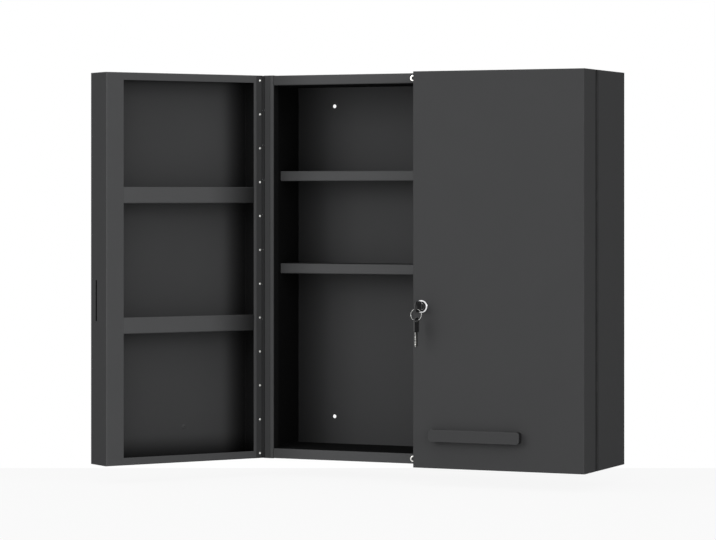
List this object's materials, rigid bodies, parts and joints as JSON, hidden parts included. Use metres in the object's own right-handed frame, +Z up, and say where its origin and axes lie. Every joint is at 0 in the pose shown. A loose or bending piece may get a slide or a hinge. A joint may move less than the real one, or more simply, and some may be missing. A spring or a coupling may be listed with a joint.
{
  "type": "medicine cabinet",
  "caption": "Wall-mounted steel medicine cabinet with two shelved tray doors on continuous hinges, inner shelves, magnets, pull handles and a cam lock with keys.",
  "frame": {"origin": "on the wall plane, at the centre of the four fixing holes in the back panel", "axes": "+X to the viewer's right, +Y into the wall, +Z up; the doors face -Y"},
  "size_m": [0.8146, 0.3847, 0.65],
  "materials": {
    "powder_coat": "dark grey satin powder coat",
    "zinc_steel": "bright zinc plate",
    "nickel": "nickel plate",
    "lock_chrome": "polished chrome",
    "black_plastic": "fine matt black moulding"
  },
  "bodies": {
    "cabinet": {"left_side_panel": "powder_coat", "right_side_panel": "powder_coat", "top_panel": "powder_coat", "bottom_panel": "powder_coat", "back_panel": "powder_coat", "upper_shelf": "powder_coat", "lower_shelf": "powder_coat", "left_hinge_body_leaf": "powder_coat", "right_hinge_body_leaf": "powder_coat", "left_hinge_pin": "powder_coat", "right_hinge_pin": "powder_coat", "left_door_magnets": "nickel", "right_door_magnets": "nickel", "left_magnet_screws": "zinc_steel", "right_magnet_screws": "zinc_steel"},
    "left_door": {"left_door_pan": "powder_coat", "left_door_upper_shelf": "powder_coat", "left_door_lower_shelf": "powder_coat", "left_hinge_door_leaf": "powder_coat", "left_hinge_rivets": "zinc_steel", "left_handle_bar": "powder_coat", "left_handle_feet": "black_plastic", "left_handle_screws": "powder_coat"},
    "right_door": {"right_door_pan": "powder_coat", "right_door_upper_shelf": "powder_coat", "right_door_lower_shelf": "powder_coat", "right_hinge_door_leaf": "powder_coat", "right_hinge_rivets": "zinc_steel", "right_handle_bar": "powder_coat", "right_handle_feet": "black_plastic", "right_handle_screws": "powder_coat", "lock_housing": "lock_chrome", "lock_nut": "zinc_steel"},
    "lock": {"lock_plug": "lock_chrome", "lock_cam": "zinc_steel", "cam_screw": "zinc_steel"},
    "key": {"key_blade": "lock_chrome", "key_bow": "black_plastic"},
    "key_ring": {"key_ring": "lock_chrome"},
    "spare_key": {"spare_key_blade": "lock_chrome", "spare_key_bow": "black_plastic"}
  },
  "joints": [
    {"name": "left_door_swing", "type": "hinge", "parent": "cabinet", "child": "left_door", "pos_m": [-0.29923, -0.1395, 0], "axis": [0, 0, 1], "range_deg": [-51, 124]},
    {"name": "right_door_swing", "type": "hinge", "parent": "cabinet", "child": "right_door", "pos_m": [0.29923, -0.1395, 0], "axis": [0, 0, 1], "range_deg": [0, 175]},
    {"name": "lock_turn", "type": "hinge", "parent": "right_door", "child": "lock", "pos_m": [0.0175, -0.198, -0.0675], "axis": [0, -1, 0], "range_deg": [0, 90]},
    {"name": "key_slide", "type": "slide", "parent": "lock", "child": "key", "axis": [0, -1, 0], "range_m": [0, 0.03]},
    {"name": "key_ring_swing", "type": "hinge", "parent": "key", "child": "key_ring", "pos_m": [0.0175, -0.222, -0.071], "axis": [1, 0, 0], "range_deg": [-75, 10]},
    {"name": "spare_key_swing", "type": "hinge", "parent": "key_ring", "child": "spare_key", "pos_m": [0.0175, -0.222, -0.0898], "axis": [1, 0, 0], "range_deg": [-75, 10]}
  ]
}
